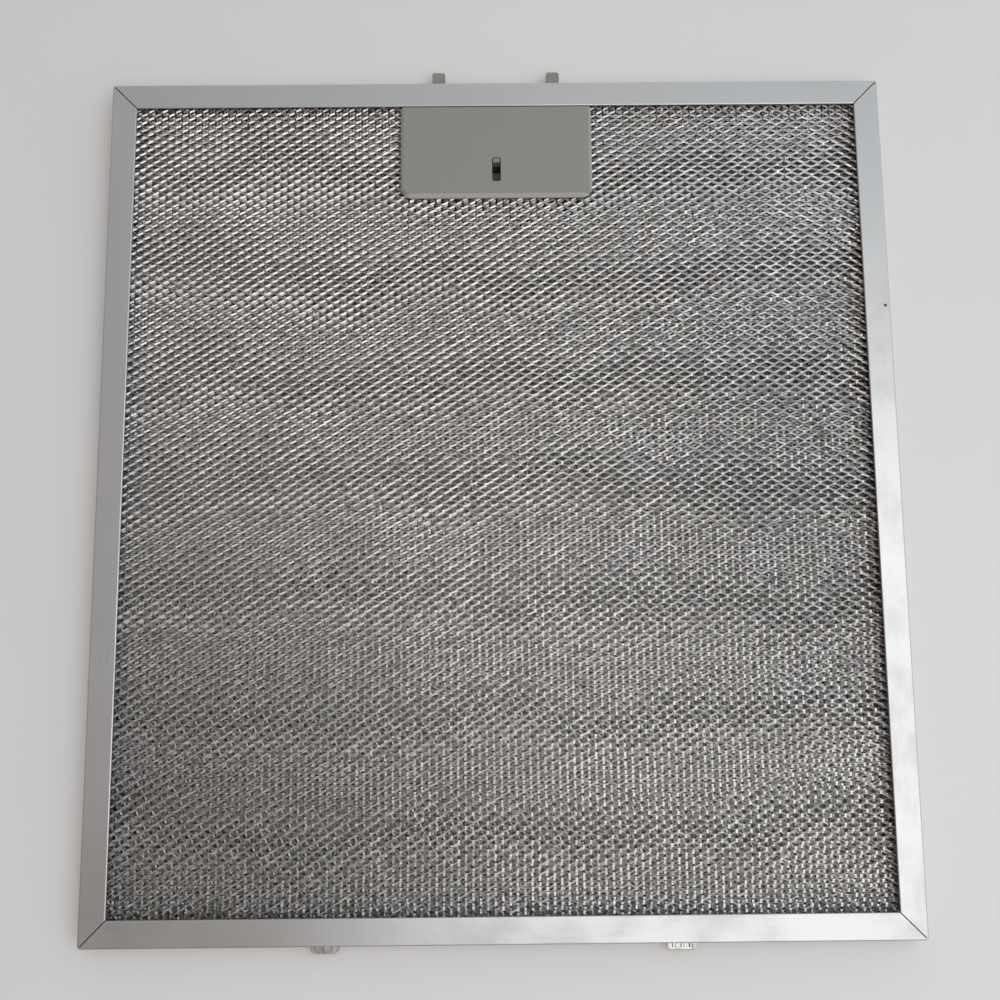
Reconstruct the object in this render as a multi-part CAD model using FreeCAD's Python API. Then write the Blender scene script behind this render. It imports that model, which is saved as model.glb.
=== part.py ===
import FreeCAD, Part
import math
import os

os.makedirs("parts", exist_ok=True)

V = FreeCAD.Vector

# Cooker hood grease filter lying on its back. Millimetres.
# X runs across, Y towards the latch edge, Z up out of the front face.

# Frame: one sheet strip folded to a channel with its edges turned in, and bent round four mitred corners
frame_width = 278.0
frame_length = 300.0
frame_depth = 9.0
sheet = 0.5
flange_width = 9.0
fold_radius = 0.5
return_lean = math.radians(35)
corner_radius = 1.2
mitre_gap = 0.35
seam_gap = 0.3
seam_overlap = 14.0
clinch_radius = 1.3
clinch_depth = 0.3

# Mesh pack, sunk below the frame's two faces: open lattices of strands on both faces, and between them
# sheets whose bars cross the lattices' openings. Strands are gathered into bars, with openings between.
front_recess = 3.0
rear_recess = 1.4
strand_long_pitch = 4.88
strand_short_pitch = 3.01
strands_per_cell = 10
strands_per_bar = 2
ridge_height = 0.35
ridge_share = 0.8
ridge_lean = 0.3
face_wall = 0.5
inner_sheet_count = 3

# Latch
cover_width = 69.0
cover_reach = 34.2
cover_thickness = 1.8
cover_corner_radius = 4.0
cover_bevel = 1.0
body_inset = 3.0
wall = 1.5
plate_recess = 0.3
slot_width = 3.1
slot_length = 9.0
slot_offset = 5.8
slot_corner_radius = 0.6
catch_width = 2.4
catch_length = 2.5
catch_top_length = 1.3
catch_sink = 0.4
tongue_spread = 41.8
tongue_width = 4.7
tongue_thickness = 3.0
tongue_projection = 6.0
tongue_lead_in = 1.2
tongue_corner_radius = 0.8
yoke_width = 48.0
yoke_depth = 7.0
stem_width = 7.0
peg_side = 2.2
boss_side = 5.0
spring_spread = 26.0
spring_outer_radius = 2.1
spring_wire = 0.6
spring_turns = 3
spring_peg_side = 1.8
spring_peg_length = 2.5
guide_rib = 1.0

# Locating tabs: hairpin strips whose legs open out behind the web
tab_spread = 118.0
tab_width = 9.4
tab_projection = 3.3
tab_foot_width = 15.0
tab_nose_cut = 1.0
tab_edge_cut = 0.3
tab_rib_width = 1.3
tab_rib_height = 0.3
tab_rib_spacing = 2.8

# Clearances
pack_clearance = 0.1
layer_clearance = 0.05
edge_clearance = 1.2
seat_clearance = 0.3
slide_clearance = 0.3
end_clearance = 0.15

# Places that follow from the values above
half_width = frame_width / 2
half_length = frame_length / 2
pack_bottom = rear_recess
pack_top = frame_depth - front_recess
mid_z = (pack_bottom + pack_top) / 2
cover_low_z = frame_depth - cover_thickness
face_thickness = face_wall + ridge_height
strand_angle = math.atan2(strand_short_pitch, strand_long_pitch)
strand_pitch = strand_short_pitch * math.cos(strand_angle)
cell_pitch = strands_per_cell * strand_pitch
strands_per_gap = strands_per_cell - strands_per_bar
mesh_reach = math.hypot(frame_width, frame_length) / 2
mesh_rim = flange_width - sheet - edge_clearance
mesh_half_width = half_width - sheet - edge_clearance
mesh_half_length = half_length - sheet - edge_clearance
flange_edge_y = half_length - flange_width
cover_top_y = flange_edge_y - seat_clearance
cover_bottom_y = cover_top_y - cover_reach
body_half_width = cover_width / 2 - body_inset
body_bottom_y = cover_bottom_y + body_inset
neck_top_y = half_length - sheet - seat_clearance
pocket_half_width = body_half_width - wall
pocket_bottom_y = body_bottom_y + wall
pocket_top_y = cover_top_y - wall
slot_bottom_y = cover_bottom_y + slot_offset
slot_top_y = slot_bottom_y + slot_length
catch_top_y = slot_top_y - end_clearance
catch_bottom_y = catch_top_y - catch_length
travel = slot_length - catch_length - 2 * end_clearance
yoke_bottom_y = slot_top_y + wall
yoke_top_y = yoke_bottom_y + yoke_depth
yoke_bottom_z = pack_bottom + slide_clearance
yoke_top_z = cover_low_z - slide_clearance
boss_x = pocket_half_width - boss_side / 2
boss_ys = (pocket_bottom_y + boss_side / 2, pocket_top_y - boss_side / 2)
row_shift = (tab_projection - tongue_projection) / 2


def box(x0, x1, y0, y1, z0, z1):
    return Part.makeBox(x1 - x0, y1 - y0, z1 - z0, V(x0, y0, z0))


def centred_box(x, width, y0, y1, z, height):
    return box(x - width / 2, x + width / 2, y0, y1, z - height / 2, z + height / 2)


def outline_face(points):
    return Part.Face(Part.makePolygon(points + points[:1]))


def prism(points, z0, z1):
    """Upright block over an outline of (x, y) points."""
    return outline_face([V(x, y, z0) for x, y in points]).extrude(V(0, 0, z1 - z0))


def edges_along(shape, direction):
    """Straight edges of a shape that run along a direction."""
    found = []
    for edge in shape.Edges:
        run = edge.Vertexes[-1].Point - edge.Vertexes[0].Point
        if run.Length > 0 and abs(run.normalize().dot(direction)) > 0.999:
            found.append(edge)
    return found


def round_block(block, radius, direction, keep=lambda centre: True):
    """Block with its edges along a direction rounded, where keep says so."""
    edges = [e for e in edges_along(block, direction) if keep(e.CenterOfMass)]
    return block.makeFillet(radius, edges)


def mirrored(x):
    return (-x / 2, x / 2)


def return_fold(half, root_z, foot_z):
    """Edge of a flange turned in over the pack, leaning away from the mouth."""
    lean = abs(foot_z - root_z) * math.tan(return_lean)
    breadth = sheet / math.cos(return_lean)
    section = [
        V(-half, flange_width, root_z),
        V(-half, flange_width - lean, foot_z),
        V(-half, flange_width - lean - breadth, foot_z),
        V(-half, flange_width - breadth, root_z),
    ]
    return outline_face(section).extrude(V(2 * half, 0, 0))


def channel_side(length):
    """One mitred side along X with its web at y = 0 and its mouth towards +Y."""
    half = length / 2
    outer = round_block(box(-half, half, 0, flange_width, 0, frame_depth), fold_radius, V(1, 0, 0))
    hollow = box(-half, half, sheet, flange_width + sheet, sheet, frame_depth - sheet)
    returns = [
        return_fold(half, sheet, pack_bottom - pack_clearance),
        return_fold(half, frame_depth - sheet, pack_top + pack_clearance),
    ]
    setback = mitre_gap / math.sqrt(2)
    mitre = prism(
        [
            (setback - half, 0),
            (half - setback, 0),
            (half - flange_width - setback, flange_width),
            (flange_width + setback - half, flange_width),
        ],
        0,
        frame_depth,
    )
    return outer.cut(hollow).fuse(returns).common(mitre)


def frame_outline(inset, z0, z1):
    """Upright block over the frame's outline, moved in by inset."""
    x = half_width - inset
    y = half_length - inset
    return round_block(box(-x, x, -y, y, z0, z1), corner_radius - inset, V(0, 0, 1))


def frame():
    """Folded strip: web round all four corners, flanges mitred, ends lapped at one corner."""
    outline = frame_outline(0, 0, frame_depth)
    web_low, web_high = fold_radius, frame_depth - fold_radius
    web = frame_outline(0, web_low, web_high).cut(frame_outline(sheet, web_low, web_high))
    sides = []
    for turn, length, offset in (
        (0, frame_width, half_length),
        (90, frame_length, half_width),
        (180, frame_width, half_length),
        (270, frame_length, half_width),
    ):
        side = channel_side(length)
        side.translate(V(0, -offset, 0))
        side.rotate(V(0, 0, 0), V(0, 0, 1), turn)
        sides.append(side.common(outline))
    body = web.fuse(sides)

    seam_y = half_length - corner_radius - seam_gap
    seam = box(half_width - 2 * sheet, half_width + sheet, seam_y, seam_y + seam_gap, 0, frame_depth)
    lap_x = half_width - sheet
    lap = box(lap_x - sheet, lap_x, half_length - seam_overlap, half_length - sheet, pack_bottom, pack_top)
    body = body.cut(seam).fuse(lap)

    clinch_y = half_length - seam_overlap / 2
    clinch = Part.makeCylinder(
        clinch_radius, clinch_depth + sheet, V(half_width - clinch_depth, clinch_y, mid_z), V(1, 0, 0)
    )
    openings = [clinch]
    for x in mirrored(tongue_spread):
        openings.append(
            centred_box(
                x,
                tongue_width + 2 * slide_clearance,
                half_length - 2 * sheet,
                half_length + sheet,
                mid_z,
                tongue_thickness + 2 * slide_clearance,
            )
        )
    for x in mirrored(tab_spread):
        openings.append(
            centred_box(
                x,
                tab_width + 2 * end_clearance,
                -half_length - sheet,
                2 * sheet - half_length,
                mid_z + tab_rib_height / 2,
                2 * sheet + tab_rib_height + 2 * end_clearance,
            )
        )
    return body.cut(openings).removeSplitter()


def locating_tab(x):
    """Hairpin strip through the web: ribbed tongue outside, two opened legs inside."""
    nose_y = -half_length - tab_projection
    leg_y = sheet - half_length
    tongue = centred_box(x, tab_width, nose_y, leg_y, mid_z, 2 * sheet)
    upright = [e for e in edges_along(tongue, V(0, 0, 1)) if e.CenterOfMass.y < -half_length]
    tongue = tongue.makeChamfer(tab_nose_cut, upright)
    nose = [e for e in edges_along(tongue, V(1, 0, 0)) if e.CenterOfMass.y < -half_length]
    tongue = tongue.makeChamfer(tab_edge_cut, nose)
    pieces = [centred_box(x, tab_foot_width, leg_y, leg_y + sheet, mid_z, pack_top - pack_bottom)]
    rib_z = mid_z + sheet
    for step in (-1, 0, 1):
        rib_x = x + step * tab_rib_spacing
        section = [
            V(rib_x - tab_rib_width / 2, leg_y, rib_z),
            V(rib_x + tab_rib_width / 2, leg_y, rib_z),
            V(rib_x + tab_rib_width / 4, leg_y, rib_z + tab_rib_height),
            V(rib_x - tab_rib_width / 4, leg_y, rib_z + tab_rib_height),
        ]
        pieces.append(outline_face(section).extrude(V(0, nose_y + tab_nose_cut - leg_y, 0)))
    return tongue.fuse(pieces).removeSplitter()


def pack_outline(z0, z1, inset=0.0):
    """Block over the mesh sheets' outline, a rectangle notched for the latch, moved in by inset."""
    side_x = mesh_half_width - inset
    end_y = mesh_half_length - inset
    notch_x = body_half_width + seat_clearance + inset
    notch_y = body_bottom_y - seat_clearance - inset
    return prism(
        [
            (-side_x, -end_y),
            (side_x, -end_y),
            (side_x, end_y),
            (notch_x, end_y),
            (notch_x, notch_y),
            (-notch_x, notch_y),
            (-notch_x, end_y),
            (-side_x, end_y),
        ],
        z0,
        z1,
    )


def ridged_sheet(back_z, crest_z, bar_shift, turn):
    """Sheet with a leaning ridge for each strand of its bars, the bars set off by a share of a cell."""
    outward = math.copysign(1.0, crest_z - back_z)
    valley_z = crest_z - outward * ridge_height
    base = ridge_share * strand_pitch
    bars = math.ceil(mesh_reach / cell_pitch)
    edge = (bars + 1) * cell_pitch
    points = [(-edge, valley_z)]
    for bar in range(-bars, bars + 1):
        for strand in range(strands_per_bar):
            from_middle = (strand - (strands_per_bar - 1) / 2) * strand_pitch
            start = (bar + bar_shift) * cell_pitch + from_middle - base / 2
            points.append((start, valley_z))
            points.append((start + ridge_lean * base, crest_z))
            points.append((start + base, valley_z))
    points.append((edge, valley_z))
    points.append((edge, back_z))
    points.append((-edge, back_z))
    section = outline_face([V(-mesh_reach, s, z) for s, z in points])
    run = section.extrude(V(2 * mesh_reach, 0, 0))
    run.rotate(V(0, 0, 0), V(0, 0, 1), turn)
    return run.common(pack_outline(*sorted((back_z, crest_z))))


def diamond_gaps(z0, z1):
    """Diamond openings in staggered rows, cut off where the flanges and the latch begin."""
    step_x = strands_per_cell * strand_long_pitch / 2
    step_y = strands_per_cell * strand_short_pitch / 2
    half_x = strands_per_gap * strand_long_pitch / 2
    half_y = strands_per_gap * strand_short_pitch / 2
    columns = int((half_width - flange_width) / step_x)
    rows = int(flange_edge_y / step_y)
    window = pack_outline(z0, z1, mesh_rim)
    gaps = []
    for row in range(-rows, rows + 1):
        for column in range(-columns, columns + 1):
            x, y = column * step_x, row * step_y
            between_openings = (row + column) % 2
            under_latch = abs(x) < cover_width / 2 and y > cover_bottom_y
            if between_openings or under_latch:
                continue
            corners = [(x - half_x, y), (x, y - half_y), (x + half_x, y), (x, y + half_y)]
            gaps.append(prism(corners, z0, z1).common(window))
    return gaps


def long_gaps(turn, z0, z1):
    """Slots that leave an inner sheet as bars, each bar over the middle of a row of the diamond openings."""
    breadth = strands_per_gap * strand_pitch
    reach = (half_width - flange_width) * math.sin(strand_angle) + flange_edge_y * math.cos(strand_angle)
    rows = int(reach / cell_pitch)
    window = pack_outline(z0, z1, mesh_rim)
    gaps = []
    for row in range(-rows, rows):
        s = (row + 0.5) * cell_pitch
        slot = box(-mesh_reach, mesh_reach, s - breadth / 2, s + breadth / 2, z0, z1)
        slot.rotate(V(0, 0, 0), V(0, 0, 1), turn)
        gaps.append(slot.common(window))
    return gaps


def face_mesh(back_z, outward):
    """Expanded-metal face sheet: an open lattice with its ridges outward."""
    crest_z = back_z + outward * face_thickness
    turn = outward * math.degrees(strand_angle)
    low, high = sorted((back_z, crest_z))
    return ridged_sheet(back_z, crest_z, 0.5, turn).cut(diamond_gaps(low, high))


def inner_mesh(index):
    """Sheet of bars inside the pack; neighbours run crosswise."""
    room = (pack_top - pack_bottom - 2 * face_thickness) / inner_sheet_count
    low = pack_bottom + face_thickness
    z0 = low + index * room + layer_clearance
    z1 = low + (index + 1) * room - layer_clearance
    turn = math.degrees(strand_angle) * (1 - 2 * (index % 2))
    return ridged_sheet(z0, z1, 0.0, turn).cut(long_gaps(turn, z0, z1))


def cover_plate(z0, z1):
    """Plate over the latch body with its two lower corners rounded."""
    half = cover_width / 2
    plate = box(-half, half, cover_bottom_y, cover_top_y, z0, z1)
    return round_block(plate, cover_corner_radius, V(0, 0, 1), lambda c: c.y < cover_top_y - 1)


def boss_posts(side, z0):
    """Square posts from z0 up to the cover, at the four corners of the pocket."""
    posts = []
    for x in mirrored(2 * boss_x):
        for y in boss_ys:
            posts.append(box(x - side / 2, x + side / 2, y - side / 2, y + side / 2, z0, cover_low_z))
    return posts


def latch_cover():
    """Front plate with bevelled rim, the catch's slot and four pegs through the housing."""
    plate = cover_plate(cover_low_z, frame_depth)
    rim = []
    for edge in plate.Edges:
        centre = edge.CenterOfMass
        if centre.z > frame_depth - 0.01 and centre.y < cover_top_y - 0.01:
            rim.append(edge)
    plate = plate.makeChamfer(cover_bevel, rim)
    slot = box(-slot_width / 2, slot_width / 2, slot_bottom_y, slot_top_y, cover_low_z, frame_depth)
    plate = plate.cut(round_block(slot, slot_corner_radius, V(0, 0, 1)))
    return plate.fuse(boss_posts(peg_side, plate_recess)).removeSplitter()


def middle_block(half, y0, y1, top_z):
    """Block across the middle of the filter, from the pack's underside up."""
    return box(-half, half, y0, y1, pack_bottom, top_z)


def latch_housing():
    """Rear plate and walled body, with a lower neck that reaches into the frame's channel."""
    plate = cover_plate(plate_recess, pack_bottom)
    body = middle_block(body_half_width, body_bottom_y, cover_top_y, cover_low_z)
    pocket = middle_block(pocket_half_width, pocket_bottom_y, pocket_top_y, cover_low_z)
    neck = middle_block(body_half_width, pocket_top_y, neck_top_y, pack_top)
    housing = plate.fuse([body.cut(pocket), neck])

    tunnels = []
    for x in mirrored(tongue_spread):
        tunnels.append(
            centred_box(
                x,
                tongue_width + 2 * slide_clearance,
                pocket_top_y - wall,
                neck_top_y + wall,
                mid_z,
                tongue_thickness + 2 * slide_clearance,
            )
        )
    housing = housing.cut(tunnels)

    additions = boss_posts(boss_side, pack_bottom)
    peg_end_y = pocket_bottom_y + spring_peg_length
    for x in mirrored(spring_spread):
        additions.append(centred_box(x, spring_peg_side, pocket_bottom_y, peg_end_y, mid_z, spring_peg_side))
    rib_centre = stem_width / 2 + slide_clearance + guide_rib / 2
    rib_top_y = yoke_bottom_y - travel - slide_clearance
    for x in mirrored(2 * rib_centre):
        additions.append(
            box(x - guide_rib / 2, x + guide_rib / 2, pocket_bottom_y, rib_top_y, pack_bottom, mid_z)
        )
    peg_holes = boss_posts(peg_side + 2 * end_clearance, plate_recess)
    return housing.fuse(additions).cut(peg_holes).removeSplitter()


def latch_slider():
    """Yoke with the two tongues, the stem under the slot and the catch that shows in it."""
    tip_y = half_length + tongue_projection
    yoke = box(-yoke_width / 2, yoke_width / 2, yoke_bottom_y, yoke_top_y, yoke_bottom_z, yoke_top_z)
    stem = box(-stem_width / 2, stem_width / 2, catch_bottom_y, yoke_bottom_y, yoke_bottom_z, yoke_top_z)
    pieces = [stem]

    for x in mirrored(tongue_spread):
        tongue = centred_box(x, tongue_width, yoke_top_y, tip_y, mid_z, tongue_thickness)
        tongue = round_block(tongue, tongue_corner_radius, V(0, 0, 1), lambda c: c.y > tip_y - 1)
        lead_in = outline_face(
            [
                V(x - tongue_width, tip_y, mid_z - tongue_thickness / 2),
                V(x - tongue_width, tip_y - tongue_lead_in, mid_z - tongue_thickness / 2),
                V(x - tongue_width, tip_y, mid_z - tongue_thickness / 2 + tongue_lead_in),
            ]
        ).extrude(V(2 * tongue_width, 0, 0))
        pieces.append(tongue.cut(lead_in))

    catch_high = frame_depth - catch_sink
    side = [
        V(-catch_width / 2, catch_top_y, yoke_top_z),
        V(-catch_width / 2, catch_bottom_y, yoke_top_z),
        V(-catch_width / 2, catch_bottom_y, cover_low_z),
        V(-catch_width / 2, catch_top_y - catch_top_length, catch_high),
        V(-catch_width / 2, catch_top_y, catch_high),
    ]
    pieces.append(outline_face(side).extrude(V(catch_width, 0, 0)))

    peg_end_y = yoke_bottom_y - spring_peg_length
    for x in mirrored(spring_spread):
        pieces.append(centred_box(x, spring_peg_side, peg_end_y, yoke_bottom_y, mid_z, spring_peg_side))
    return yoke.fuse(pieces).removeSplitter()


def latch_spring(x):
    """Coil between the housing's lower wall and the yoke, square wire."""
    radius = spring_outer_radius - spring_wire / 2
    length = yoke_bottom_y - pocket_bottom_y - 2 * layer_clearance - spring_wire
    coil = Part.makeHelix(length / spring_turns, length, radius)
    half = spring_wire / 2
    corners = [V(radius + u * half, 0, w * half) for u, w in ((-1, -1), (1, -1), (1, 1), (-1, 1))]
    section = Part.makePolygon(corners + corners[:1])
    spring = Part.Wire(coil).makePipeShell([section], True, True)
    spring.rotate(V(0, 0, 0), V(1, 0, 0), -90)
    spring.translate(V(x, pocket_bottom_y + layer_clearance + half, mid_z))
    return spring


def export_parts():
    left_tab, right_tab = mirrored(tab_spread)
    left_spring, right_spring = mirrored(spring_spread)
    parts = {
        "frame": frame(),
        "front_mesh": face_mesh(pack_top - face_thickness, 1),
        "rear_mesh": face_mesh(pack_bottom + face_thickness, -1),
        "latch_cover": latch_cover(),
        "latch_housing": latch_housing(),
        "latch_slider": latch_slider(),
        "latch_spring_left": latch_spring(left_spring),
        "latch_spring_right": latch_spring(right_spring),
        "locating_tab_left": locating_tab(left_tab),
        "locating_tab_right": locating_tab(right_tab),
    }
    for index in range(inner_sheet_count):
        parts[f"inner_mesh_{index + 1}"] = inner_mesh(index)
    for node, shape in parts.items():
        shape.translate(V(0, row_shift, 0))
        shape.exportStep(f"parts/{node}.step")


export_parts()
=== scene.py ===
import math

import bpy
import numpy as np
from mathutils import Matrix, Vector


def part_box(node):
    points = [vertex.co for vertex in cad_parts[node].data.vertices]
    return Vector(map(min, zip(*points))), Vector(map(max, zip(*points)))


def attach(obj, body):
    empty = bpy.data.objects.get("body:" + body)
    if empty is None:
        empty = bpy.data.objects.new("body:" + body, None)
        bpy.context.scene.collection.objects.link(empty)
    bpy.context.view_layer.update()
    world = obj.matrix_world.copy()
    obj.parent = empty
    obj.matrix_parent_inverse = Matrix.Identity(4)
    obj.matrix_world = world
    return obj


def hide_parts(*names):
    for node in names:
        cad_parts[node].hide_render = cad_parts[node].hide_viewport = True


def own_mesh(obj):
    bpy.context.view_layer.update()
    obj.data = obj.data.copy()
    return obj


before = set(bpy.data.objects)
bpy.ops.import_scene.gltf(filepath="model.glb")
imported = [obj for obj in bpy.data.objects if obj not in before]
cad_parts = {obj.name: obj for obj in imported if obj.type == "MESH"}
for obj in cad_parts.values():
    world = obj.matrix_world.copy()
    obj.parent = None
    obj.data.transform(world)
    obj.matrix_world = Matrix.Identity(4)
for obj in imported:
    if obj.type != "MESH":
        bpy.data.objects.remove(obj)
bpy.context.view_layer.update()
MM = 0.001

# Lattice of each expanded sheet, in millimetres: pitch along the strands' run and across it
FRONT_PITCH = (4.88, 3.01)
SECOND_PITCH = (4.88, 3.27)
TURNED_PITCH = (4.88, 2.73)
# Strands and the bonds that join them, in millimetres and radians
STRAND_WIDTH = 0.67
STRAND_TILT = math.radians(20)
STRAND_UNEVENNESS = math.radians(6)
BOND_LENGTH = 0.7
BOND_TILT = math.radians(-5)
BOND_UNEVENNESS = math.radians(10)
LIFT_UNEVENNESS = 0.03
FOIL = 0.16
# Slow waves of a sheet, in millimetres: how far they move it sideways and up, and their lengths
FACE_SWAY = 0.35
INNER_SWAY = 0.5
SHEET_LIFT = 0.1
WAVELENGTHS = (150.0, 95.0, 61.0, 38.0)
# Corners of a strand's section, as shares of its half width and half thickness
FULL_SECTION = ((-1, -1), (1, -1), (1, 1), (-1, 1))
FLAT_SECTION = ((1, 0), (-1, 0))
# Name of the mesh attribute that is 1 on the bonds and 0 on the strands between them
BOND_MARK = "bond"
# The latch body stands in from its cover's edge, and the sheets are cut clear of it
BODY_INSET = 3.0 * MM
NOTCH_CLEARANCE = 0.3 * MM

# Latch springs: the wire's radius, all turns with a closed one at each end, and how finely they are meshed
WIRE_RADIUS = 0.3 * MM
SPRING_TURNS = 6.5
STEPS_PER_TURN = 24
RING_POINTS = 8

# Dark tone of the painted shade in the latch and on the sheets
SHADE_TONE = (0.06, 0.058, 0.053)
# The sheets' painted shade and dulling change within this distance of the middle
GRADIENT_REACH = 110.0 * MM
# Roughness that the sheets gain towards the tab edge
TAB_EDGE_DULLING = 0.18
# Places of the sheets darkened with painted shade, at the lower left and at the right: place on the face,
# radius and soft edge in millimetres, share of the shade tone
SHADED_PLACES = (
    ((-130.0, -140.0), 40.0, 130.0, 0.3),
    ((135.0, 0.0), 20.0, 100.0, 0.24),
)

# Marks on the frame, and a stretch of painted dark reflection at its lower left: place on the face, radius
# and soft edge in millimetres
DARK_REFLECTION_STRETCH = ((-100.0, -147.0), 20.0, 45.0)
SPECK = ((137.2, 65.0), 0.4, 0.3)
RUBBED_PLACE = ((-133.6, -56.7), 1.2, 1.6)
SMEAR = ((-128.6, -144.6), 1.8, 2.8)
# Inwards from the frame's outer edge: where its painted highlight is full and where it ends, and where the
# painted shade on its inner fold starts and where it is full
EDGE_HIGHLIGHT_FULL = 0.1 * MM
EDGE_HIGHLIGHT_END = 0.6 * MM
FOLD_SHADE_START = 8.7 * MM
FOLD_SHADE_FULL = 9.0 * MM

# Inwards from the latch cover's sides and bottom: where the painted highlight on its edges is full and where
# it ends
SIDE_HIGHLIGHT_FULL = 0.7 * MM
SIDE_HIGHLIGHT_END = 1.3 * MM
BOTTOM_HIGHLIGHT_FULL = 0.9 * MM
BOTTOM_HIGHLIGHT_END = 1.4 * MM
# Soft border of the painted shade inside the latch
SHADE_BORDER = 0.1 * MM
# How far below the catch's top, and behind the tongues' tips, the slider keeps its grey and where its
# painted shade is full
CATCH_UNSHADED = 0.1 * MM
CATCH_SHADED = 0.4 * MM
TONGUE_UNSHADED = 7.0 * MM
TONGUE_SHADED = 9.0 * MM

# Floor, just below the filter so that the two don't share a plane
FLOOR_SIZE = 6.0
FLOOR_DROP = 0.2 * MM

# Lamp that faces straight down, in metres and watts
LAMP_WIDTH = 0.76
LAMP_LENGTH = 0.85
LAMP_PLACE = (0.32, -0.175, 0.75)
LAMP_POWER = 2.7
LAMP_COLOUR = (1.0, 0.995, 0.985)

# Room light, from dim and warm at the lower left to brighter and cool at the upper right
ROOM_DIRECTION = (0.76, 0.44, 0.0)
ROOM_DIM_END = -0.57
ROOM_BRIGHT_END = 0.5
ROOM_WARM = (0.32, 0.27, 0.245)
ROOM_COOL = (0.78, 0.83, 0.87)

# Camera, from the photo's fit: 1000 by 1000 picture, focal length 1100 pixels
CAMERA_FROM_FACE = Vector((-1.8, -56.6, 375.2)) * MM
CAMERA_TURN = (0.140783, -0.005127, -0.008838)
SENSOR_WIDTH = 36.0
FOCAL_SHARE = 1.1
NEAREST_SEEN = 0.01

# Colour sockets of the Mix node, by number, because its sockets share their names
MIX_FIRST = 6
MIX_SECOND = 7
MIX_RESULT = 2

frame_low, frame_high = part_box("frame")
frame_centre = (frame_low + frame_high) / 2
half_width = (frame_high.x - frame_low.x) / 2
half_length = (frame_high.y - frame_low.y) / 2


def face_point(x, y):
    """A point on the front face, given in millimetres from the face's centre."""
    return (frame_centre.x + x * MM, frame_centre.y + y * MM, frame_high.z)


class Shader:
    """A material's node tree with short calls for the nodes used here."""

    def __init__(self, name):
        self.material = bpy.data.materials.new(name)
        self.material.use_nodes = True
        self.tree = self.material.node_tree
        self.surface = self.tree.nodes["Principled BSDF"]
        self.place = self.node("ShaderNodeTexCoord").outputs["Object"]

    def node(self, kind, **settings):
        made = self.tree.nodes.new(kind)
        for key, value in settings.items():
            setattr(made, key, value)
        return made

    def feed(self, socket, value):
        if isinstance(value, bpy.types.NodeSocket):
            self.tree.links.new(value, socket)
        else:
            socket.default_value = value

    def math(self, operation, a, b=0.0):
        made = self.node("ShaderNodeMath", operation=operation)
        for socket, value in zip(made.inputs, (a, b)):
            self.feed(socket, value)
        return made.outputs[0]

    def plus(self, a, b):
        return self.math("ADD", a, b)

    def minus(self, a, b):
        return self.math("SUBTRACT", a, b)

    def times(self, a, b):
        return self.math("MULTIPLY", a, b)

    def split(self, vector):
        made = self.node("ShaderNodeSeparateXYZ")
        self.feed(made.inputs[0], vector)
        return made.outputs

    def join(self, x, y, z):
        made = self.node("ShaderNodeCombineXYZ")
        for socket, value in zip(made.inputs, (x, y, z)):
            self.feed(socket, value)
        return made.outputs[0]

    def scaled(self, x, y, z):
        """The place on the piece with each coordinate scaled, which stretches a noise."""
        made = self.node("ShaderNodeVectorMath", operation="MULTIPLY")
        self.feed(made.inputs[0], self.place)
        made.inputs[1].default_value = (x, y, z)
        return made.outputs[0]

    def noise(self, vector, scale, detail=3.0, roughness=0.55):
        made = self.node("ShaderNodeTexNoise")
        self.feed(made.inputs["Vector"], vector)
        made.inputs["Scale"].default_value = scale
        made.inputs["Detail"].default_value = detail
        made.inputs["Roughness"].default_value = roughness
        return made.outputs["Fac"]

    def span(self, value, low, high, out_low=0.0, out_high=1.0):
        """Smooth step from out_low to out_high while value goes from low to high."""
        made = self.node("ShaderNodeMapRange", interpolation_type="SMOOTHSTEP")
        for socket, given in zip(made.inputs, (value, low, high, out_low, out_high)):
            self.feed(socket, given)
        return made.outputs[0]

    def mix(self, share, a, b):
        made = self.node("ShaderNodeMix", data_type="RGBA")
        self.feed(made.inputs["Factor"], share)
        self.feed(made.inputs[MIX_FIRST], (*a, 1.0) if isinstance(a, tuple) else a)
        self.feed(made.inputs[MIX_SECOND], (*b, 1.0) if isinstance(b, tuple) else b)
        return made.outputs[MIX_RESULT]

    def near(self, place, radius, softness):
        """1 inside a ball round a place on the face, falling to 0 over softness, all in millimetres."""
        made = self.node("ShaderNodeVectorMath", operation="DISTANCE")
        self.feed(made.inputs[0], self.place)
        made.inputs[1].default_value = face_point(*place)
        return self.span(made.outputs["Value"], radius * MM, (radius + softness) * MM, 1.0, 0.0)

    def bump(self, height, strength, distance):
        made = self.node("ShaderNodeBump")
        made.inputs["Strength"].default_value = strength
        made.inputs["Distance"].default_value = distance
        self.feed(made.inputs["Height"], height)
        self.feed(self.surface.inputs["Normal"], made.outputs[0])

    def colour(self, value):
        self.feed(self.surface.inputs["Base Color"], value)

    def overlay(self, share, tint):
        """Lay a tint over the colour fed so far."""
        under = self.surface.inputs["Base Color"].links[0].from_socket
        self.colour(self.mix(share, under, tint))

    def set(self, name, value):
        self.feed(self.surface.inputs[name], value)


def frame_marks(s, base):
    """The frame's few marks: a speck at the right, a rub and a smear at the left, and a painted dark
    reflection over the lower left.
    """
    # Painted dark reflection over the frame's lower left
    base = s.mix(s.times(s.near(*DARK_REFLECTION_STRETCH), 0.45), base, (0.34, 0.325, 0.31))
    base = s.mix(s.times(s.near(*SPECK), 0.95), base, (0.05, 0.05, 0.05))
    strokes = s.span(s.noise(s.scaled(1.0, 0.25, 1.0), scale=900, detail=2.0), 0.52, 0.6)
    rubbed = s.times(s.near(*RUBBED_PLACE), strokes)
    base = s.mix(s.times(rubbed, 0.3), base, (0.3, 0.28, 0.28))
    smear_tone = s.span(s.noise(s.place, scale=400), 0.4, 0.62)
    smear = s.times(s.near(*SMEAR), smear_tone)
    return s.mix(s.times(smear, 0.7), base, (0.36, 0.38, 0.46))


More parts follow.
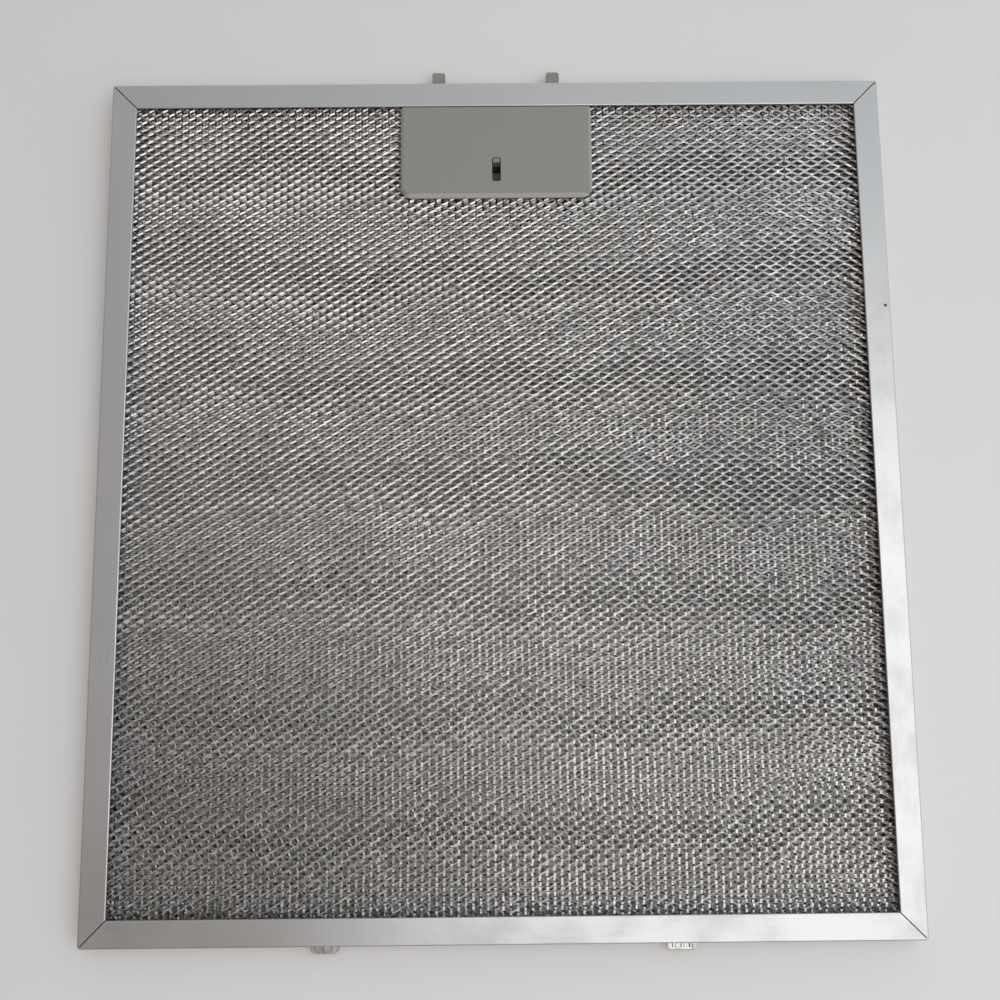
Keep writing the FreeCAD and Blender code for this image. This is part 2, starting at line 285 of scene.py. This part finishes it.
def frame_material():
    """Rolled aluminium strip: satin grain along each side, dull patches, a painted highlight along the outer
    edges, painted shade on the inner fold.
    """
    s = Shader("frame_aluminium")
    x, y, z = s.split(s.place)
    from_side = s.minus(half_width, s.math("ABSOLUTE", s.minus(x, frame_centre.x)))
    from_end = s.minus(half_length, s.math("ABSOLUTE", s.minus(y, frame_centre.y)))
    on_side = s.math("LESS_THAN", from_side, from_end)
    across = s.math("MINIMUM", from_side, from_end)
    along = s.plus(s.times(on_side, y), s.times(s.minus(1.0, on_side), x))
    grain_place = s.join(s.times(along, 0.03), across, z)
    grain = s.noise(grain_place, scale=2600, detail=4.0)
    film = s.span(s.noise(s.place, scale=45, detail=4.0, roughness=0.6), 0.35, 0.75)
    edge = s.span(across, EDGE_HIGHLIGHT_END, EDGE_HIGHLIGHT_FULL)
    fold = s.span(across, FOLD_SHADE_START, FOLD_SHADE_FULL)
    base = s.mix(film, (0.57, 0.568, 0.566), (0.53, 0.526, 0.522))
    base = s.mix(s.times(grain, 0.35), base, (0.48, 0.478, 0.476))
    # Painted highlight along the outer edges
    base = s.mix(s.times(edge, 0.35), base, (0.74, 0.74, 0.74))
    # Painted shade on the inner fold
    base = s.mix(s.times(fold, 0.6), base, (0.2, 0.19, 0.18))
    s.colour(frame_marks(s, base))
    s.set("Metallic", 1.0)
    wear = s.plus(s.plus(grain, film), fold)
    s.set("Roughness", s.span(wear, 0.4, 1.8, out_low=0.37, out_high=0.5))
    s.bump(grain, strength=0.05, distance=0.2 * MM)
    return s.material


def mesh_material(name, bright, dull, latch_edge_shade=0.0, tab_edge_shade=0.0, bond_gloss=0.0):
    """Expanded foil with painted shade towards the latch edge and the tab edge, by the shares given, rougher
    near the tab edge save for glossy bonds.
    """
    s = Shader(name)
    film = s.span(s.noise(s.place, scale=40, detail=4.0, roughness=0.6), 0.35, 0.7)
    fine = s.noise(s.place, scale=1800, detail=2.0)
    base = s.mix(s.times(film, 0.25), bright, dull)
    s.colour(s.mix(s.times(fine, 0.5), base, dull))
    y = s.split(s.place)["Y"]
    # Painted shade, thicker towards the latch edge
    s.overlay(s.span(y, -GRADIENT_REACH, GRADIENT_REACH / 2, 0.0, latch_edge_shade), SHADE_TONE)
    # Painted shade, thicker towards the tab edge
    s.overlay(s.span(y, 0.0, -GRADIENT_REACH, 0.0, tab_edge_shade), SHADE_TONE)
    # Painted shade over the sheets' darker places at the lower left and at the right
    for place, radius, softness, share in SHADED_PLACES:
        s.overlay(s.times(s.near(place, radius, softness), share), SHADE_TONE)
    s.set("Metallic", 1.0)
    bond = s.node("ShaderNodeAttribute", attribute_name=BOND_MARK).outputs["Fac"]
    dulling = s.span(y, GRADIENT_REACH, -GRADIENT_REACH, 0.0, TAB_EDGE_DULLING)
    dulling = s.times(dulling, s.minus(1.0, s.times(bond, bond_gloss)))
    sheen = s.span(s.plus(film, fine), 0.3, 1.5, out_low=0.3, out_high=0.4)
    s.set("Roughness", s.plus(dulling, sheen))
    s.bump(fine, strength=0.08, distance=0.1 * MM)
    return s.material


def plastic_shader(name, base, worn):
    """Moulded plastic: fine matt grain and faint mottling."""
    s = Shader(name)
    grain = s.noise(s.place, scale=5200, detail=2.0)
    mottle = s.noise(s.place, scale=160, detail=4.0, roughness=0.6)
    tint = s.mix(s.times(mottle, 0.1), base, worn)
    s.colour(s.mix(s.times(grain, 0.12), tint, worn))
    s.set("Roughness", s.span(mottle, 0.3, 0.7, out_low=0.56, out_high=0.62))
    s.bump(grain, strength=0.06, distance=0.1 * MM)
    return s


def latch_material():
    """Grey plastic of cover and housing, with a painted highlight at the cover's edges and painted shade
    inside.
    """
    s = plastic_shader("latch_plastic", (0.262, 0.258, 0.233), (0.35, 0.345, 0.32))
    low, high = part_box("latch_cover")
    x, y, z = s.split(s.place)
    # Painted highlight along the cover's sides and bottom
    from_side = s.minus(high.x, s.math("ABSOLUTE", x))
    side = s.times(s.span(from_side, SIDE_HIGHLIGHT_END, SIDE_HIGHLIGHT_FULL), 0.5)
    bottom = s.span(s.minus(y, low.y), BOTTOM_HIGHLIGHT_END, BOTTOM_HIGHLIGHT_FULL)
    s.overlay(s.math("MAXIMUM", side, bottom), (0.46, 0.455, 0.43))
    # Painted shade inside the latch, between the rear plate and the cover's underside
    plate_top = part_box("rear_mesh")[0].z
    under_cover = s.span(z, low.z - SHADE_BORDER, low.z - 2 * SHADE_BORDER)
    above_plate = s.span(z, plate_top - 2 * SHADE_BORDER, plate_top)
    s.overlay(s.times(above_plate, under_cover), SHADE_TONE)
    return s.material


def slider_material():
    """Grey plastic of the slider, darkened with painted shade inside the latch, its own grey on tongues and
    catch.
    """
    s = plastic_shader("slider_plastic", (0.24, 0.228, 0.21), (0.33, 0.318, 0.3))
    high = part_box("latch_slider")[1]
    place = s.split(s.place)
    # Painted shade on the slider inside the latch, below the catch's top and behind the tongues' tips
    below_catch = s.span(s.minus(high.z, place["Z"]), CATCH_UNSHADED, CATCH_SHADED)
    behind_tips = s.span(s.minus(high.y, place["Y"]), TONGUE_UNSHADED, TONGUE_SHADED)
    s.overlay(s.times(below_catch, behind_tips), SHADE_TONE)
    return s.material


def steel_material(name, base, dark):
    """Pressed or drawn steel: fine lengthwise marks and slight darkening."""
    s = Shader(name)
    marks = s.noise(s.scaled(1.0, 0.15, 1.0), scale=2400)
    patch = s.noise(s.place, scale=260)
    s.colour(s.mix(s.span(patch, 0.35, 0.7), base, dark))
    s.set("Metallic", 1.0)
    s.set("Roughness", s.span(marks, 0.3, 0.7, out_low=0.22, out_high=0.38))
    s.bump(marks, strength=0.1, distance=0.1 * MM)
    return s.material


def floor_material():
    """Plain pale floor with a barely uneven tone."""
    s = Shader("pale_floor")
    tone = s.noise(s.place, scale=9)
    s.colour(s.mix(tone, (0.74, 0.73, 0.715), (0.78, 0.77, 0.755)))
    s.set("Roughness", 0.7)
    return s.material


def mesh_object(name, points, faces, material):
    """A new mesh object from arrays of points in metres and four-sided faces."""
    data = bpy.data.meshes.new(name)
    data.vertices.add(len(points))
    data.vertices.foreach_set("co", points.astype(np.float32).ravel())
    data.loops.add(faces.size)
    data.loops.foreach_set("vertex_index", faces.astype(np.int32).ravel())
    data.polygons.add(len(faces))
    data.polygons.foreach_set("loop_start", np.arange(0, faces.size, 4, dtype=np.int32))
    data.update(calc_edges=True)
    data.materials.append(material)
    made = bpy.data.objects.new(name, data)
    bpy.context.scene.collection.objects.link(made)
    return made


def waviness(x, y, rng, height):
    """Slow uneven shift of a sheet's points, in the units of height."""
    shift = np.zeros_like(x)
    for wavelength in WAVELENGTHS:
        direction = rng.uniform(0, math.pi)
        phase = rng.uniform(0, 2 * math.pi)
        run = x * math.cos(direction) + y * math.sin(direction)
        shift += np.sin(2 * math.pi * run / wavelength + phase)
    return height * shift / len(WAVELENGTHS)


def bond_steps(count):
    """Which of the steps along a strand are bonds: every other one, from the first."""
    return np.arange(count) % 2 == 0


def strand_points(run, breadth, pitch, section, sway, rng):
    """Points of an expanded sheet in millimetres, by strand, by step along it, by end and by corner."""
    long_pitch, short_pitch = pitch
    knuckles = int((run - BOND_LENGTH) / (long_pitch / 2)) + 1
    strands = int(breadth / (short_pitch / 2))
    column, row = np.meshgrid(np.arange(2 * knuckles), np.arange(strands))
    knuckle, bond_end = column // 2, column % 2
    up = (knuckle + row) % 2 == 1
    half_width_across = STRAND_WIDTH * math.cos(STRAND_TILT) / 2
    half_rise = STRAND_WIDTH * math.sin(STRAND_TILT) / 2
    along = (knuckle - (knuckles - 1) / 2) * long_pitch / 2 + (bond_end - 0.5) * BOND_LENGTH
    across = (row - strands / 2) * short_pitch / 2
    across = across + np.where(up, short_pitch / 2 - half_width_across, half_width_across)
    lift = np.where(up, -half_rise, half_rise) + rng.normal(0, LIFT_UNEVENNESS, up.shape)
    middle = np.stack(
        [
            along + waviness(along, across, rng, sway),
            across + waviness(along, across, rng, sway),
            lift + waviness(along, across, rng, SHEET_LIFT),
        ],
        axis=-1,
    )
    ends = np.stack([middle[:, :-1], middle[:, 1:]], axis=2)

    steps = 2 * knuckles - 1
    on_bond = bond_steps(steps)
    unevenness = np.where(on_bond, BOND_UNEVENNESS, STRAND_UNEVENNESS)
    tilt = np.where(on_bond, BOND_TILT, STRAND_TILT) + rng.normal(0, unevenness, (strands, steps))
    tilt = tilt[..., None]
    corners = []
    for side, face in section:
        shift_across = side * STRAND_WIDTH / 2 * np.cos(tilt) - face * FOIL / 2 * np.sin(tilt)
        shift_up = side * STRAND_WIDTH / 2 * np.sin(tilt) + face * FOIL / 2 * np.cos(tilt)
        corners.append(ends + np.stack([np.zeros_like(tilt), shift_across, shift_up], axis=-1))
    return np.stack(corners, axis=3)


def strand_faces(shape):
    """Four-sided faces between the two ends of each step, by strand, by step and by side of the section."""
    index = np.arange(math.prod(shape)).reshape(shape)
    here, ahead = index[:, :, 0], index[:, :, 1]
    corner_count = shape[3]
    sides = []
    for k in range(corner_count if corner_count > 2 else 1):
        n = (k + 1) % corner_count
        sides.append(np.stack([here[..., k], here[..., n], ahead[..., n], ahead[..., k]], axis=-1))
    return np.stack(sides, axis=2)


def mark_bonds(sheet, shape):
    """Mark which of a sheet's points belong to bonds, for its material."""
    on_bond = bond_steps(shape[1])
    marks = np.broadcast_to(on_bond[None, :, None, None], shape).astype(np.float32)
    sheet.data.attributes.new(BOND_MARK, "FLOAT", "POINT").data.foreach_set("value", marks.ravel())


def in_latch_notch(points):
    """Which steps along the strands lie where the latch body passes through the sheets."""
    middle = points.mean(axis=(2, 3))
    low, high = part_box("latch_housing")
    side = high.x - BODY_INSET + NOTCH_CLEARANCE
    bottom = low.y + BODY_INSET - NOTCH_CLEARANCE
    return (np.abs(middle[..., 0]) < side) & (middle[..., 1] > bottom)


def strand_sheet(name, node, material, pitch, sway, seed, turned=False, section=FLAT_SECTION, pieces=1):
    """Expanded sheet in a CAD node's place: zigzag strands of tilted foil, bonded edge to edge."""
    rng = np.random.default_rng(seed)
    low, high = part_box(node)
    size = (high - low) / MM
    run, breadth = (size.y, size.x) if turned else (size.x, size.y)
    points = strand_points(run, breadth, pitch, section, sway, rng)
    if turned:
        points = points[..., [1, 0, 2]] * np.array([-1.0, 1.0, 1.0])
    points = points * MM + np.array((low + high) / 2)
    for number, block in enumerate(np.array_split(points, pieces), start=1):
        faces = strand_faces(block.shape[:4])[~in_latch_notch(block)].reshape(-1, 4)
        sheet = mesh_object(f"{name}_{number}", block.reshape(-1, 3), faces, material)
        sheet.data.shade_flat()
        mark_bonds(sheet, block.shape[:4])
        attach(sheet, "filter")
        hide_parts(node)


def spring_rings(low, high):
    """Rings of points along a round-wire spring that fills a box lengthwise, with closed end turns."""
    axis = (low + high) / 2
    radius = (high.x - low.x) / 2 - WIRE_RADIUS
    length = high.y - low.y - 2 * WIRE_RADIUS
    closed_rise = 2 * WIRE_RADIUS
    turn = np.linspace(0, SPRING_TURNS, int(SPRING_TURNS * STEPS_PER_TURN) + 1)
    open_climb = np.clip((turn - 1) / (SPRING_TURNS - 2), 0, 1)
    end_climb = np.clip(turn, 0, 1) + np.clip(turn - SPRING_TURNS + 1, 0, 1)
    rise = open_climb * (length - 2 * closed_rise) + end_climb * closed_rise
    angle = 2 * math.pi * turn
    outward = np.stack([np.cos(angle), np.zeros_like(angle), np.sin(angle)], axis=-1)
    along = np.array([0.0, 1.0, 0.0])
    start = np.array((axis.x, low.y + WIRE_RADIUS, axis.z))
    centre = start + radius * outward + rise[:, None] * along
    rings = []
    for k in range(RING_POINTS):
        a = 2 * math.pi * k / RING_POINTS
        rings.append(centre + WIRE_RADIUS * (math.cos(a) * outward + math.sin(a) * along))
    return np.stack(rings, axis=1)


def coil_spring(name, node, material):
    """Round-wire spring in a CAD spring's place."""
    low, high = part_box(node)
    points = spring_rings(low, high)
    index = np.arange(math.prod(points.shape[:2])).reshape(points.shape[:2])
    beside = np.roll(index, -1, axis=1)
    faces = np.stack([index[:-1], beside[:-1], beside[1:], index[1:]], axis=-1).reshape(-1, 4)
    spring = mesh_object(name, points.reshape(-1, 3), faces, material)
    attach(spring, "filter")
    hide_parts(node)
    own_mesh(spring)


def dress(material, *nodes):
    """Give CAD nodes a material."""
    for node in nodes:
        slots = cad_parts[node].data.materials
        slots.clear()
        slots.append(material)


def build_sheets():
    """The five expanded sheets, from the front face down to the rear one."""
    # The outer sheets carry painted shade towards the tab edge
    outer_look = {"tab_edge_shade": 0.17, "bond_gloss": 1.0}
    outer = mesh_material("outer_mesh", (0.61, 0.593, 0.58), (0.48, 0.464, 0.452), **outer_look)
    # The inner sheets are copies of one foil: the second and third paler than the outer ones as painted
    # light, the deep one darker as painted shade, and all three carry painted shade towards the latch edge
    second = mesh_material("second_mesh", (0.74, 0.722, 0.708), (0.6, 0.583, 0.568), latch_edge_shade=0.53)
    third = mesh_material("third_mesh", (0.7, 0.682, 0.667), (0.56, 0.543, 0.529), latch_edge_shade=0.685)
    deep = mesh_material("deep_mesh", (0.42, 0.407, 0.395), (0.3, 0.29, 0.28), latch_edge_shade=0.8)
    full = {"section": FULL_SECTION, "pieces": 2}
    strand_sheet("front_strands", "front_mesh", outer, FRONT_PITCH, FACE_SWAY, seed=11, **full)
    strand_sheet("inner_strands_3", "inner_mesh_3", second, SECOND_PITCH, INNER_SWAY, seed=23)
    strand_sheet("inner_strands_2", "inner_mesh_2", third, TURNED_PITCH, INNER_SWAY, seed=37, turned=True)
    strand_sheet("inner_strands_1", "inner_mesh_1", deep, SECOND_PITCH, INNER_SWAY, seed=41)
    strand_sheet("rear_strands", "rear_mesh", outer, FRONT_PITCH, FACE_SWAY, seed=53)


def build_object():
    """The filter: materials on the CAD pieces, and sheets and springs in place of the CAD ones."""
    dress(frame_material(), "frame")
    dress(latch_material(), "latch_cover", "latch_housing")
    dress(slider_material(), "latch_slider")
    tab = steel_material("tab_steel", (0.52, 0.51, 0.5), (0.34, 0.33, 0.32))
    dress(tab, "locating_tab_left", "locating_tab_right")
    build_sheets()
    wire = steel_material("spring_steel", (0.6, 0.6, 0.61), (0.42, 0.42, 0.43))
    coil_spring("spring_left", "latch_spring_left", wire)
    coil_spring("spring_right", "latch_spring_right", wire)


def room_light():
    """A plain room whose tone runs evenly from one side to the other."""
    world = bpy.data.worlds.new("room")
    bpy.context.scene.world = world
    world.use_nodes = True
    nodes, links = world.node_tree.nodes, world.node_tree.links
    place = nodes.new("ShaderNodeTexCoord")
    toward = nodes.new("ShaderNodeVectorMath")
    toward.operation = "DOT_PRODUCT"
    links.new(place.outputs["Generated"], toward.inputs[0])
    toward.inputs[1].default_value = ROOM_DIRECTION
    share = nodes.new("ShaderNodeMapRange")
    links.new(toward.outputs["Value"], share.inputs["Value"])
    share.inputs["From Min"].default_value = ROOM_DIM_END
    share.inputs["From Max"].default_value = ROOM_BRIGHT_END
    tone = nodes.new("ShaderNodeMix")
    tone.data_type = "RGBA"
    links.new(share.outputs["Result"], tone.inputs["Factor"])
    tone.inputs[MIX_FIRST].default_value = (*ROOM_WARM, 1.0)
    tone.inputs[MIX_SECOND].default_value = (*ROOM_COOL, 1.0)
    links.new(tone.outputs[MIX_RESULT], nodes["Background"].inputs["Color"])


def build_stage():
    """Pale floor under the filter, one broad soft lamp and the room."""
    bpy.ops.mesh.primitive_plane_add(size=FLOOR_SIZE, location=(0, 0, -FLOOR_DROP))
    floor = bpy.context.object
    floor.name = "floor"
    floor.data.materials.append(floor_material())

    lamp = bpy.data.lights.new("key_softbox", "AREA")
    lamp.shape = "RECTANGLE"
    lamp.size = LAMP_WIDTH
    lamp.size_y = LAMP_LENGTH
    lamp.energy = LAMP_POWER
    lamp.color = LAMP_COLOUR
    softbox = bpy.data.objects.new("key_softbox", lamp)
    softbox.location = LAMP_PLACE
    bpy.context.scene.collection.objects.link(softbox)
    room_light()


def build_camera():
    """The photo's camera, placed from the middle of the frame's front face."""
    data = bpy.data.cameras.new("photo_camera")
    data.sensor_width = SENSOR_WIDTH
    data.lens = SENSOR_WIDTH * FOCAL_SHARE
    data.clip_start = NEAREST_SEEN
    camera = bpy.data.objects.new("photo_camera", data)
    face_centre = Vector(face_point(0.0, 0.0))
    turn = Matrix.Identity(4)
    for angle, axis in zip(CAMERA_TURN, "XYZ"):
        turn = turn @ Matrix.Rotation(angle, 4, axis)
    camera.matrix_world = Matrix.Translation(face_centre + CAMERA_FROM_FACE) @ turn
    bpy.context.scene.collection.objects.link(camera)
    bpy.context.scene.camera = camera


build_object()
build_stage()
build_camera()
bpy.context.scene.view_settings.view_transform = "Standard"
